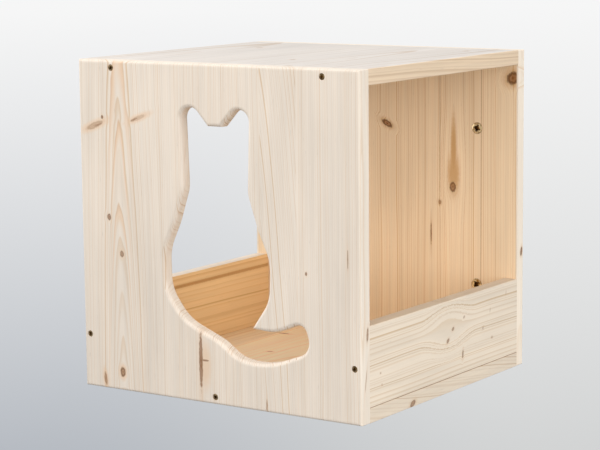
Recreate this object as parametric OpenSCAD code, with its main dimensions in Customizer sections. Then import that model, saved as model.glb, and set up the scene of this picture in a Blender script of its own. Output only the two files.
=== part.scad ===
// Wall-hung cat cube in edge-glued spruce. Two square panels, one with a cat-shaped door, hold a roof,
// a floor and two low side rails between them. The sides are open above the rails.
// Millimetres. The origin is the middle of the back panel's wall face: +X to the right as seen from
// the front, +Y into the wall, +Z up.

/* [Boards] */
// Width of the cube
cube_w = 400; // [380:5:460]
// Height of the cube
cube_h = 400; // [390:5:460]
// Length of the roof, floor and rails, between the front and back panels
bay_d = 350; // [300:5:400]
// Thickness of every board
board_t = 18; // [17:0.5:21]
// Height of the two side rails above the floor
rail_h = 94; // [70:1:130]

/* [Edges] */
// Radius of the front and back panels' corners, seen from the front
corner_r = 1.5; // [1:0.25:3]
// Radius of the rounded outer edge of the front and back panels
edge_r = 4; // [3.5:0.25:6]
// Radius of the eased long edges of the roof, floor and rails
arris_r = 0.8; // [0.4:0.1:1.5]

/* [Cat door] */
// Height of the door's lowest point above the panel's foot
door_foot = 53.5; // [48:0.5:58]
// Height of the panel's top above the corners of the ears, before these are rounded
door_head = 28.5; // [26:0.5:34]
// Width of the crown, between the ears
crown_w = 20; // [16:0.5:26]
// Width of the head across the outer sides of the ears
head_w = 99; // [95:0.5:106]
// Width of the neck
neck_w = 91; // [84:0.5:94]
// Width across the shoulders
shoulder_w = 119; // [112:0.5:124]
// Width of the body across the haunches
haunch_w = 151; // [146:0.5:158]
// Reach of the tail to the right of the door's middle
tail_reach = 132.5; // [128:0.5:140]

/* [Board screws] */
// Outer diameter of the thread
screw_d = 4; // [3.5:0.5:4.5]
// Length of a screw
screw_l = 45; // [40:1:50]
// Distance from one turn of the thread to the next
screw_pitch = 2.2; // [1.8:0.1:2.6]
// Diameter of the countersunk head
screw_head_d = 7.6; // [7:0.2:9]
// Depth of the head below the wood
screw_sink = 0.6; // [0.2:0.1:1]
// Distance of the roof screws from the panel's sides
roof_screw_inset = 50; // [30:1:90]
// Place of the floor screw, right of the middle
floor_screw_x = -3; // [-20:1:20]
// Distance of the upright screws under a rail from the rail's ends
rail_screw_inset = 80; // [50:1:120]

/* [Wall screws] */
// Diameter of the thread and of the shank at the wall
wall_screw_d = 8; // [6:0.5:9]
// Length of a wall screw
wall_screw_l = 60; // [50:1:70]
// Distance from one turn of the thread to the next
wall_pitch = 3.5; // [2.4:0.1:4.4]
// Length of the plain shank past the panel, ahead of the thread
wall_shank_l = 9; // [6:0.5:12]
// Diameter of the countersunk head
wall_head_d = 14.6; // [12:0.2:16]
// Distance between the wall screws, left to right
wall_span_x = 284; // [200:1:300]
// Distance between the wall screws, up and down
wall_span_z = 200; // [120:1:260]

/* [Clearances] */
// Gap around a screw in the board that it passes through
shank_gap = 0.3; // [0.2:0.05:0.5]
// Gap around a screw's thread in the board that it holds
thread_gap = 0.1; // [0.05:0.05:0.2]
// Gap around a screw's head in its countersink
head_gap = 0.15; // [0.1:0.05:0.3]

/* [Hidden] */
$fn = 96;

spruce = [0.91, 0.82, 0.69];
warm_spruce = [0.86, 0.73, 0.55];
bronze = [0.55, 0.43, 0.24];
brass = [0.78, 0.62, 0.30];

past = 1;                                  // how far a cutter runs past the face that it cuts
head_rim = 0.3;                            // upright rim of a countersunk head
arc_bite = 1.002;                          // a corner's arc over the tangent one: it just bites its sides
roof_z = cube_h / 2 - board_t / 2;
floor_z = -roof_z;
rail_x = cube_w / 2 - board_t / 2;
rail_z = -cube_h / 2 + board_t + rail_h / 2;
front_face_y = -bay_d - 2 * board_t;
root_share = 0.64;                         // thread's root diameter, as a share of its outer diameter
waist_share = 0.72;                        // board screw's shank, as a share of the thread's diameter
thread_land = 0.1;                         // flat at the root, between two turns of the thread
waist_step = 0.5;                          // how far the wall screw's shank is thinned in the panel
slot_share = [0.6, 0.15, 0.2];             // cross recess: length, width and depth, as shares of the head
screw_waist_r = screw_d * waist_share / 2;
wall_waist_r = wall_screw_d / 2 - waist_step;
pilot_l = screw_l - board_t + past;        // depth of a screw's hole in the board that it holds

// Places of the five screws in the front panel, and in the back panel: [right, up]
end_screws = [
  [-cube_w / 2 + roof_screw_inset, roof_z],
  [cube_w / 2 - roof_screw_inset, roof_z],
  [floor_screw_x, floor_z],
  [-rail_x, rail_z],
  [rail_x, rail_z]
];
rail_screw_ys = [-board_t - rail_screw_inset, -board_t - bay_d + rail_screw_inset];
wall_places = [for (x = [-1, 1], z = [-1, 1]) [x * wall_span_x / 2, z * wall_span_z / 2]];

// Corners of an outline: [right, up, radius]. Going round, the wood is always on the left, so a board's
// outline runs anticlockwise and the door's clockwise.
function board_outline(w, h, r) = [
  [-w / 2, -h / 2, r], [w / 2, -h / 2, r], [w / 2, h / 2, r], [-w / 2, h / 2, r]
];
panel_outline = board_outline(cube_w, cube_h, corner_r);

// The cat's outline. Heights above the door's foot, and radii, are shares of the cat's height.
cat_h = cube_h - door_foot - door_head;
// The right side of the cat, from the crown down to the haunch
cat_side = [
  [crown_w / 2, 0.863, 0.0095],            // where the crown meets the ear
  [head_w / 2, 1, 0.0425],                 // ear
  [neck_w / 2, 0.626, 0.11],               // neck
  [shoulder_w / 2, 0.495, 0.19],           // shoulder
  [haunch_w / 2, 0.388, 0.173],            // top of the haunch
  [haunch_w * 0.49, 0.241, 0.1415]         // foot of the haunch
];
// The tail, from where it leaves the body round its tip and back along the underside
cat_tail = [
  [tail_reach * 0.377, 0.134, 0.0047],     // crook between the body and the tail
  [tail_reach * 0.619, 0.127, 0.19],       // top of the tail
  [tail_reach * 0.917, 0.178, 0.0345],     // tip, upper side
  [tail_reach, 0.074, 0.0565],             // tip, lower side
  [tail_reach * 0.525, 0, 0.33],           // lowest point
  [tail_reach * 0.223, 0.017, 0.1415],     // root of the tail
  [tail_reach * 0.03, 0.072, 0.19],        // seat
  [tail_reach * -0.366, 0.137, 0.19]       // left paw
];
cat_mirrored = [for (i = [len(cat_side) - 1 : -1 : 0]) [-cat_side[i][0], cat_side[i][1], cat_side[i][2]]];
door_outline = [
  for (p = concat(cat_side, cat_tail, cat_mirrored))
    [p[0], p[1] * cat_h + door_foot - cube_h / 2, p[2] * cat_h]
];

// Geometry of an outline's rounded corners
function spot(p) = [p[0], p[1]];
function heading(a, b) = (spot(b) - spot(a)) / norm(spot(b) - spot(a));
function way_in(loop, i) = heading(loop[(i + len(loop) - 1) % len(loop)], loop[i]);
function way_out(loop, i) = heading(loop[i], loop[(i + 1) % len(loop)]);
function turn(loop, i) = acos(way_in(loop, i) * way_out(loop, i));
function turns_left(loop, i) = cross(way_in(loop, i), way_out(loop, i)) > 0;
function tangent_l(loop, i) = loop[i][2] * tan(turn(loop, i) / 2);
function arc_start(loop, i) = spot(loop[i]) - way_in(loop, i) * tangent_l(loop, i);
function arc_end(loop, i) = spot(loop[i]) + way_out(loop, i) * tangent_l(loop, i);
function left_of(v) = [-v[1], v[0]];
function arc_centre(loop, i) =
  arc_start(loop, i) + left_of(way_in(loop, i)) * loop[i][2] * (turns_left(loop, i) ? 1 : -1);

// The bit of a sharp corner that lies outside its arc
module corner_bit(loop, i) {
  a = arc_start(loop, i);
  b = arc_end(loop, i);
  reach = heading(arc_centre(loop, i), loop[i]) * (tangent_l(loop, i) * sin(turn(loop, i) / 2) + past);
  difference() {
    polygon([a, a + reach, b + reach, b]);
    translate(arc_centre(loop, i)) circle(loop[i][2] * arc_bite);
  }
}

// The area inside an outline. filled is true where that area is wood, and false where it is a hole.
module outline_area(loop, filled) {
  corners = [0 : len(loop) - 1];
  difference() {
    union() {
      polygon([for (p = loop) spot(p)]);
      for (i = corners) if (turns_left(loop, i) != filled) corner_bit(loop, i);
    }
    for (i = corners) if (turns_left(loop, i) == filled) corner_bit(loop, i);
  }
}

// Section of what a rounding-over cutter takes off: x into the wood, y = 0 at the face
module cutter_section(r) {
  difference() {
    translate([-past, -r]) square([r + past, r + past]);
    translate([r, -r]) circle(r);
  }
}

// Rounds over the four sides of a panel on its face at z = 0, with the wood below it
module round_over() {
  for (turned = [0, 180]) rotate(turned) {
    side_cut(cube_w / 2, cube_h);
    rotate(90) side_cut(cube_h / 2, cube_w);
  }
}
module side_cut(distance, length) {
  translate([distance, length / 2, 0]) mirror([1, 0, 0]) rotate([90, 0, 0])
    linear_extrude(length) cutter_section(edge_r);
}

// A countersunk screw with its head's flat top at z = 0 and its point down. waist_r is the shank's radius
// under the head. The thread starts thread_at below the head's top, after shank_l of plain full diameter.
module screw(d, l, head_d, waist_r, thread_at, pitch, shank_l = 0) {
  head_r = head_d / 2;
  thread_r = d / 2;
  root_r = d * root_share / 2;
  turns = floor((l - d - thread_at) / pitch);
  slot = head_d * slot_share;
  head = [[0, 0], [head_r, 0], [head_r, -head_rim], [waist_r, -head_rim - head_r + waist_r]];
  shank = shank_l > 0
    ? [[waist_r, shank_l - thread_at], [thread_r, shank_l - thread_at], [thread_r, -thread_at]]
    : [[waist_r, -thread_at]];
  thread = [for (k = [0 : turns - 1]) each [
    [root_r, -thread_at - k * pitch - thread_land], [thread_r, -thread_at - (k + 0.5) * pitch]
  ]];
  tip = [[root_r, -thread_at - turns * pitch], [0, -l]];
  difference() {
    rotate_extrude() polygon(concat(head, shank, thread, tip));
    for (a = [0, 90]) rotate(a) translate([-slot[0] / 2, -slot[1] / 2, -slot[2]])
      cube([slot[0], slot[1], slot[2] + past]);
  }
}

module board_screw() screw(screw_d, screw_l, screw_head_d, screw_waist_r, board_t + past, screw_pitch);
module wall_screw() screw(wall_screw_d, wall_screw_l, wall_head_d, wall_waist_r, board_t + wall_shank_l,
                          wall_pitch, wall_shank_l);

// The hole through the board under a screw's head, with its countersink. The head's top is at z = 0.
module clear_hole(head_d, d, depth) {
  hole_r = d / 2 + shank_gap;
  head_r = head_d / 2 + head_gap;
  cone_h = head_r - hole_r;
  translate([0, 0, -depth - past]) cylinder(h = depth + past, r = hole_r);
  translate([0, 0, -head_rim - cone_h]) cylinder(h = cone_h, r1 = hole_r, r2 = head_r);
  translate([0, 0, -head_rim]) cylinder(h = head_rim + screw_sink + past, r = head_r);
}
module board_screw_hole() clear_hole(screw_head_d, screw_d, board_t);
module pilot_hole() translate([0, 0, -pilot_l]) cylinder(h = pilot_l + past, r = screw_d / 2 + thread_gap);

// Stands a flat drawing up at depth y: its z runs towards the front, or towards the wall
module facing_front(y) translate([0, y, 0]) rotate([90, 0, 0]) children();
module facing_wall(y) translate([0, y, 0]) mirror([0, 1, 0]) rotate([90, 0, 0]) children();
module facing_both_ends() {
  facing_front(-board_t - bay_d) children();
  facing_wall(-board_t) children();
}

// The blank of the front and back panels: inner face at z = 0, rounded outer face at z = board_t
module end_panel() {
  difference() {
    linear_extrude(board_t) outline_area(panel_outline, true);
    translate([0, 0, board_t]) round_over();
    for (p = end_screws) translate([p[0], p[1], board_t - screw_sink]) board_screw_hole();
  }
}

// A board between the panels, with its grain front to back and the end screws' holes in both ends
module bay_board(w, h, x, z) {
  difference() {
    facing_front(-board_t) translate([x, z, 0]) linear_extrude(bay_d)
      outline_area(board_outline(w, h, arris_r), true);
    facing_both_ends() for (p = end_screws) translate([p[0], p[1], 0]) pilot_hole();
  }
}

// Places the screws that come up through the floor into a rail
module under_rail(side) {
  for (y = rail_screw_ys) translate([side * rail_x, y, -cube_h / 2]) rotate([180, 0, 0]) children();
}

module front_panel() {
  color(spruce) facing_front(-board_t - bay_d) difference() {
    end_panel();
    translate([0, 0, -past]) linear_extrude(board_t + 2 * past) outline_area(door_outline, false);
  }
}

module back_panel() {
  color(warm_spruce) facing_wall(-board_t) difference() {
    end_panel();
    for (p = wall_places) translate([p[0], p[1], 0]) mirror([0, 0, 1])
      clear_hole(wall_head_d, wall_screw_d, board_t);
  }
}

module roof_panel() {
  color(spruce) bay_board(cube_w, board_t, 0, roof_z);
}

module floor_panel() {
  color(spruce) difference() {
    bay_board(cube_w, board_t, 0, floor_z);
    for (side = [-1, 1]) under_rail(side) translate([0, 0, -screw_sink]) board_screw_hole();
  }
}

module side_rail(side) {
  difference() {
    bay_board(board_t, rail_h, side * rail_x, rail_z);
    under_rail(side) translate([0, 0, -board_t]) pilot_hole();
  }
}

module left_rail() {
  color(spruce) side_rail(-1);
}

module right_rail() {
  color(spruce) side_rail(1);
}

module front_screws() {
  color(bronze) facing_front(front_face_y + screw_sink) for (p = end_screws) translate(p) board_screw();
}

module back_screws() {
  color(bronze) facing_wall(-screw_sink) for (p = end_screws) translate(p) board_screw();
}

module rail_screws() {
  color(bronze) for (side = [-1, 1]) under_rail(side) translate([0, 0, -screw_sink]) board_screw();
}

module wall_screws() {
  color(brass) facing_front(-board_t) for (p = wall_places) translate(p) wall_screw();
}

front_panel();
back_panel();
roof_panel();
floor_panel();
left_rail();
right_rail();
front_screws();
back_screws();
rail_screws();
wall_screws();
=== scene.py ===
# A wall-hung cat cube in edge-glued spruce, dressed around its CAD frame.
# Metres, in the frame's own axes: +X right, +Y into the wall, +Z up, wall face at y = 0.
import math

import bmesh
import bpy
from mathutils import Matrix, Vector


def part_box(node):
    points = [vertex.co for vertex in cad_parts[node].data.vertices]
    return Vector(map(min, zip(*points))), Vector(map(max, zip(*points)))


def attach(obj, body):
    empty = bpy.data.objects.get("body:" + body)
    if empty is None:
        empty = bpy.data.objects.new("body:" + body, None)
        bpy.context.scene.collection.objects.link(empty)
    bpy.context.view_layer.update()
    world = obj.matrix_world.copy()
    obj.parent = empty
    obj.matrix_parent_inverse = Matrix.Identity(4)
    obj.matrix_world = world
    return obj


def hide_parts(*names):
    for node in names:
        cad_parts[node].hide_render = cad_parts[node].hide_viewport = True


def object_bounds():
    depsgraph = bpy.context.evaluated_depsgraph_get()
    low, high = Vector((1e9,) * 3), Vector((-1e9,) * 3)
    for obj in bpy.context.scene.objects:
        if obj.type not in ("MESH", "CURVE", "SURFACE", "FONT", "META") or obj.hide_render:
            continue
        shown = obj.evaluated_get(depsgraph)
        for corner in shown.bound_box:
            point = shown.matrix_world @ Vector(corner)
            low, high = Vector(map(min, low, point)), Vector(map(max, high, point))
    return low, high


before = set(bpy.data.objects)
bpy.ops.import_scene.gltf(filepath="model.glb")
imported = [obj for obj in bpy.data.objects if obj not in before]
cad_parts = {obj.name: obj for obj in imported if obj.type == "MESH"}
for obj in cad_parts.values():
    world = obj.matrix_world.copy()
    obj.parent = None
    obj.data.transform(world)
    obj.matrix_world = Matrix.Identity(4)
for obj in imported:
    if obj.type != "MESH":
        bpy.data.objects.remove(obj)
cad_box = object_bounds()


# Floor board. Spruce staves glued edge to edge and planed to 18 mm, with the grain front to back.
# It lies between the two end panels, flush with their feet, and is screwed through them.
def put(tree, kind, inputs=None, **settings):
    """Adds one shader node. A plain input is set, and an input that is another node's output is linked."""
    made = tree.nodes.new("ShaderNode" + kind)
    for name, value in settings.items():
        setattr(made, name, value)
    for socket, value in (inputs or {}).items():
        if isinstance(value, bpy.types.NodeSocket):
            tree.links.new(value, made.inputs[socket])
        else:
            made.inputs[socket].default_value = value
    return made


def sum_up(tree, operation, *values):
    """One Math node over the values, which are numbers or other nodes' outputs."""
    return put(tree, "Math", dict(enumerate(values)), operation=operation).outputs[0]


def times(tree, first, second):
    """The first value times the second."""
    return sum_up(tree, "MULTIPLY", first, second)


def plus(tree, first, second):
    """The two values added."""
    return sum_up(tree, "ADD", first, second)


def minus(tree, first, second):
    """The first value less the second."""
    return sum_up(tree, "SUBTRACT", first, second)


def rest_of(tree, share):
    """What a share leaves of 1."""
    return minus(tree, 1.0, share)


def span_of(tree, side, rise):
    """The length of a line that goes so far aside and so far up."""
    return sum_up(tree, "SQRT", plus(tree, times(tree, side, side), times(tree, rise, rise)))


def soft_step(tree, value, low, high):
    """0 below low and 1 above high, with a smooth change between them."""
    limits = {"Value": value, "From Min": low, "From Max": high}
    return put(tree, "MapRange", limits, interpolation_type="SMOOTHSTEP").outputs[0]


def soft_drop(tree, value, low, high):
    """1 below low and 0 above high, with a smooth change between them."""
    return rest_of(tree, soft_step(tree, value, low, high))


def grain_noise(tree, across, along, through, crosswise, lengthwise):
    """Noise drawn out along the grain. The two scales are in cycles a metre."""
    place = put(tree, "CombineXYZ", {
        "X": times(tree, across, crosswise),
        "Y": times(tree, along, lengthwise),
        "Z": times(tree, through, crosswise),
    }).outputs[0]
    return put(tree, "TexNoise", {"Vector": place, "Scale": 1.0, "Detail": 2.0}).outputs["Fac"]


def mix_colour(tree, share, under, over, blend="MIX"):
    """The over colour laid on the under one by share."""
    mixed = put(tree, "Mix", data_type="RGBA", blend_type=blend)
    for socket, value in ((0, share), (6, under), (7, over)):
        if isinstance(value, bpy.types.NodeSocket):
            tree.links.new(value, mixed.inputs[socket])
        else:
            mixed.inputs[socket].default_value = value
    return mixed.outputs[2]


def start_group(name, numbers, colours, outputs):
    """A new node group with number and colour inputs, and outputs given as name and socket kind. It comes
    with the sockets inside it for its inputs and its outputs."""
    tree = bpy.data.node_groups.new(name, "ShaderNodeTree")
    for label in numbers:
        tree.interface.new_socket(label, in_out="INPUT", socket_type="NodeSocketFloat")
    for label in colours:
        tree.interface.new_socket(label, in_out="INPUT", socket_type="NodeSocketColor")
    for label, kind in outputs:
        tree.interface.new_socket(label, in_out="OUTPUT", socket_type="NodeSocket" + kind)
    return tree, tree.nodes.new("NodeGroupInput").outputs, tree.nodes.new("NodeGroupOutput").inputs


# A knot's parts begin or end softly between two distances from its middle, in half widths
KNOT_CORE = (0.65, 1.12)
KNOT_RIM_INSIDE = (0.45, 0.85)
KNOT_RIM_OUTSIDE = (0.95, 1.3)
KNOT_HALO = (0.7, 2.6)
KNOT_PUSH = (0.6, 3.6)
KNOT_RAGGED = 0.6               # how far its border strays, in half widths
KNOT_RAGGED_SCALES = (420.0, 260.0)
KNOT_RING_TURN = 6.5            # turn of the wave that draws its own rings, in radians a half width
KNOT_RING_DEPTH = 0.15


def make_knot_group():
    """A branch cut through by the board: its heart, dark rim and stain, and the grain it pushes aside."""
    masks = ("Bend", "Core", "Rim", "Halo")
    numbers = ["Across", "Along", "Knot Across", "Knot Along", "Half Width", "Stretch", "Tilt",
               "Dark", "Rim Dark", "Stain Dark", "Push", *masks]
    tree, given, out = start_group("knot", numbers, [], [(mask, "Float") for mask in masks])
    right = minus(tree, given["Across"], given["Knot Across"])
    up = minus(tree, given["Along"], given["Knot Along"])
    cosine = sum_up(tree, "COSINE", given["Tilt"])
    sine = sum_up(tree, "SINE", given["Tilt"])
    width = minus(tree, times(tree, right, cosine), times(tree, up, sine))
    length = plus(tree, times(tree, right, sine), times(tree, up, cosine))
    width = sum_up(tree, "DIVIDE", width, given["Half Width"])
    length = sum_up(tree, "DIVIDE", length, times(tree, given["Half Width"], given["Stretch"]))
    ragged = grain_noise(tree, given["Across"], given["Along"], 0.0, *KNOT_RAGGED_SCALES)
    ragged = times(tree, minus(tree, ragged, 0.5), KNOT_RAGGED)
    distance = plus(tree, span_of(tree, width, length), ragged)
    wave = sum_up(tree, "COSINE", times(tree, distance, KNOT_RING_TURN))
    rings = plus(tree, times(tree, wave, KNOT_RING_DEPTH), 1.0 - KNOT_RING_DEPTH)
    core = times(tree, soft_drop(tree, distance, *KNOT_CORE), rings)
    rim = soft_step(tree, distance, *KNOT_RIM_INSIDE)
    rim = times(tree, rim, soft_drop(tree, distance, *KNOT_RIM_OUTSIDE))
    halo = soft_drop(tree, distance, *KNOT_HALO)
    nearness = soft_drop(tree, distance, *KNOT_PUSH)
    bend = times(tree, times(tree, right, nearness), given["Push"])
    tree.links.new(minus(tree, given["Bend"], bend), out["Bend"])
    darkness = {"Core": (core, "Dark"), "Rim": (rim, "Rim Dark"), "Halo": (halo, "Stain Dark")}
    for mask, (shape, dark) in darkness.items():
        darkened = times(tree, shape, given[dark])
        tree.links.new(sum_up(tree, "MAXIMUM", given[mask], darkened), out[mask])
    return tree


ARCH_WANDER_SCALES = (90.0, 12.0)
ARCH_PALING = (0.04, 0.20)      # an arch's legs grow pale between these distances below its tip, in metres
ARCH_PALED = 0.8                # share of their colour that the legs lose
ARCH_LINE = 0.12                # its outer border, as a share of its fade
ARCH_MASKS = {"Core": (0.35, 0.16), "Halo": (1.0, 1.0)}     # reach inwards, in fades, and strength


def make_arch_group():
    """A growth ring cut lengthwise close to its pith: a pointed arch, sharp outside and fading inwards."""
    numbers = ["Across", "Along", "Tip Across", "Tip Along", "Spread", "Fade", "Dark", *ARCH_MASKS]
    tree, given, out = start_group("arch", numbers, [], [(mask, "Float") for mask in ARCH_MASKS])
    side = minus(tree, given["Across"], given["Tip Across"])
    below = minus(tree, given["Tip Along"], given["Along"])
    legs = sum_up(tree, "DIVIDE", times(tree, side, side), given["Spread"])
    wander = grain_noise(tree, given["Across"], given["Along"], 0.0, *ARCH_WANDER_SCALES)
    wander = times(tree, minus(tree, wander, 0.5), given["Fade"])
    drop = plus(tree, minus(tree, below, legs), wander)
    depth = sum_up(tree, "DIVIDE", drop, given["Fade"])
    paling = rest_of(tree, times(tree, soft_step(tree, below, *ARCH_PALING), ARCH_PALED))
    inside = times(tree, soft_step(tree, depth, 0.0, ARCH_LINE), times(tree, given["Dark"], paling))
    for mask, (reach, strength) in ARCH_MASKS.items():
        fading = times(tree, soft_drop(tree, depth, 0.0, reach), strength)
        tree.links.new(sum_up(tree, "MAXIMUM", given[mask], times(tree, fading, inside)), out[mask])
    return tree


# Noises of the wood, in cycles a metre across and along the grain
GRAIN = {"wander": (9.0, 2.2), "waver": (55.0, 7.0), "cloud": (14.0, 5.0), "streak": (160.0, 4.0),
         "fibre": (1100.0, 30.0), "fleck": (700.0, 60.0)}
RING_STRAY = {"wander": 0.010, "waver": 0.0014}     # how far a noise moves the rings, in metres
GOOD_YEARS_SCALE = 0.35         # good and lean years follow each other at this rate, in cycles a ring
GOOD_YEARS = 2.5                # rings by which good years run ahead
LATE_RISE = (0.42, 0.93)        # shares of a year in which the late wood darkens, and in which it ends
LATE_END = (0.94, 1.0)
LATE_LEAST = 0.24               # late wood of the weakest year, and what the strongest adds to it
LATE_SPREAD = 0.85
SHADE_LEAST = 0.57              # the wood's lightness is this, plus shares of its tone and of the noises
TONE_SHARE = 0.30
SHADE_SHARES = {"streak": 0.20, "fibre": 0.10, "cloud": 0.26}
FLECK_EDGE = (0.66, 0.76)
FLECK_DARK = 0.12
STAIN_SHARE = 0.75
BARK = (0.05, 0.022, 0.01, 1.0)
BARK_SHARE = 0.65               # bark in a knot's rim
ROUGH_LEAST = 0.36
ROUGH_FIBRE = 0.16
SMOOTH_KNOT = 0.10
RELIEF_LATE = 0.5
RELIEF_FIBRE = 0.35
RELIEF_KNOT = 0.4


def make_spruce_group():
    """Solid spruce: growth rings round a leaning pith, fibres, flecks, tone and knots, on every face."""
    numbers = ["Across", "Along", "Through", "Pith Across", "Pith Depth", "Lean", "Tone",
               "Ring Width", "Figure", "Bend", "Core", "Rim", "Halo"]
    colours = ["Early Wood", "Late Wood", "Heart", "Stain"]
    tree, given, out = start_group("spruce", numbers, colours,
                                   [("Color", "Color"), ("Roughness", "Float"), ("Height", "Float")])
    across = plus(tree, given["Across"], given["Bend"])
    noise = {name: grain_noise(tree, across, given["Along"], given["Through"], *scales)
             for name, scales in GRAIN.items()}
    side = minus(tree, across, given["Pith Across"])
    pith_depth = plus(tree, given["Pith Depth"], times(tree, given["Along"], given["Lean"]))
    radius = span_of(tree, side, minus(tree, given["Through"], pith_depth))
    for name, reach in RING_STRAY.items():
        radius = plus(tree, radius, times(tree, minus(tree, noise[name], 0.5), reach))
    ring = sum_up(tree, "DIVIDE", radius, given["Ring Width"])
    years = {"W": times(tree, ring, GOOD_YEARS_SCALE), "Scale": 1.0, "Detail": 2.0}
    good_years = put(tree, "TexNoise", years, noise_dimensions="1D").outputs["Fac"]
    ring = plus(tree, ring, times(tree, good_years, GOOD_YEARS))
    season = sum_up(tree, "FRACT", ring)
    number = sum_up(tree, "FLOOR", ring)
    year = put(tree, "TexWhiteNoise", {"W": number}, noise_dimensions="1D").outputs["Value"]
    strength = plus(tree, times(tree, sum_up(tree, "POWER", year, 3.0), LATE_SPREAD), LATE_LEAST)
    late = times(tree, soft_step(tree, season, *LATE_RISE), soft_drop(tree, season, *LATE_END))
    late = times(tree, times(tree, late, strength), given["Figure"])

    shade = plus(tree, times(tree, given["Tone"], TONE_SHARE), SHADE_LEAST)
    for name, share in SHADE_SHARES.items():
        shade = plus(tree, shade, times(tree, noise[name], share))
    fleck = soft_step(tree, noise["fleck"], *FLECK_EDGE)
    shade = minus(tree, shade, times(tree, fleck, FLECK_DARK))
    shade = put(tree, "CombineColor", {"Red": shade, "Green": shade, "Blue": shade}).outputs[0]
    colour = mix_colour(tree, late, given["Early Wood"], given["Late Wood"])
    colour = mix_colour(tree, 1.0, colour, shade, "MULTIPLY")
    colour = mix_colour(tree, times(tree, given["Halo"], STAIN_SHARE), colour, given["Stain"])
    colour = mix_colour(tree, given["Core"], colour, given["Heart"])
    dark_heart = mix_colour(tree, BARK_SHARE, given["Heart"], BARK)
    colour = mix_colour(tree, given["Rim"], colour, dark_heart)
    tree.links.new(colour, out["Color"])

    rough = plus(tree, times(tree, noise["fibre"], ROUGH_FIBRE), ROUGH_LEAST)
    rough = minus(tree, rough, times(tree, given["Core"], SMOOTH_KNOT))
    tree.links.new(rough, out["Roughness"])
    height = plus(tree, times(tree, late, RELIEF_LATE), times(tree, noise["fibre"], RELIEF_FIBRE))
    height = plus(tree, height, times(tree, given["Core"], RELIEF_KNOT))
    tree.links.new(height, out["Height"])
    return tree


def place_group(tree, group, inputs):
    """Places a node group. A plain input is set, and an input that is another node's output is linked."""
    return put(tree, "Group", node_tree=group, inputs=inputs)


def stave(left, pith, depth, lean=0.0, tone=0.5):
    """One stave of a board: its left edge, where its pith lies, how the pith leans, and how pale it is."""
    return left, pith, depth, lean, tone


def knot(across, along, half_width, stretch=1.4, tilt=0.0, dark=0.7, rim=0.4, push=0.7, stain=0.6):
    """A knot on a face. stretch is its length over its width, and tilt its clockwise turn in degrees."""
    return {"Knot Across": across / 1000, "Knot Along": along / 1000, "Half Width": half_width / 1000,
            "Stretch": stretch, "Tilt": math.radians(tilt),
            "Dark": dark, "Rim Dark": rim, "Stain Dark": stain, "Push": push}


def streak(across, along, half_width, half_length, dark, tilt=0.0):
    """A pitch streak, a crack or a dark line: a long knot that leaves the grain straight."""
    return knot(across, along, half_width, half_length / half_width, tilt, dark, 0.0, 0.0, dark * 0.5)


def flame(across, along, half_width, half_length, stain):
    """Resin-stained wood above a knot, with no clear border."""
    return knot(across, along, half_width, half_length / half_width, 0.0, 0.0, 0.0, 0.0, stain)


def swirl(across, along, half_width, stretch, push):
    """Grain that parts round a branch hidden in the board."""
    return knot(across, along, half_width, stretch, 0.0, 0.0, 0.0, push, 0.0)


def arch(across, along, spread, fade, dark):
    """A pointed growth ring on a board's face: its tip, how fast its legs part, and how far its stain runs
    inwards."""
    return {"Tip Across": across / 1000, "Tip Along": along / 1000,
            "Spread": spread / 1000, "Fade": fade / 1000, "Dark": dark}


knot_group = make_knot_group()
arch_group = make_arch_group()
spruce_group = make_spruce_group()
AXES = {"x": 0, "y": 1, "z": 2}
STAVE_END = 0.5       # across place in metres past every board's last stave
PITH_REACH = 2.0      # span in metres that a stave's pith place is kept in
LEAN_REACH = 4.0      # span that a stave's lean is kept in
EDGE_AT = 0.2         # across place of every wide board's long edges
EDGE_SKIN = 0.0015    # depth of the sawn edge that shows another colour than the face
GRAIN_RELIEF = 0.0006
BUMP_STRENGTH = 0.12
WOOD_SHEEN = 0.2


def blank_material(name):
    """A new material, and its node tree with nothing in it."""
    material = bpy.data.materials.new(name)
    material.use_nodes = True
    material.node_tree.nodes.clear()
    return material, material.node_tree


def cover(tree, coat, relief, settings):
    """Ends a material with a surface that takes its colour, roughness and relief from a group's outputs."""
    bump = put(tree, "Bump", {"Height": coat["Height"], "Strength": BUMP_STRENGTH, "Distance": relief})
    skin = put(tree, "BsdfPrincipled", {
        "Base Color": coat["Color"], "Roughness": coat["Roughness"], "Normal": bump.outputs[0], **settings})
    put(tree, "OutputMaterial", {"Surface": skin.outputs[0]})


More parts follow.
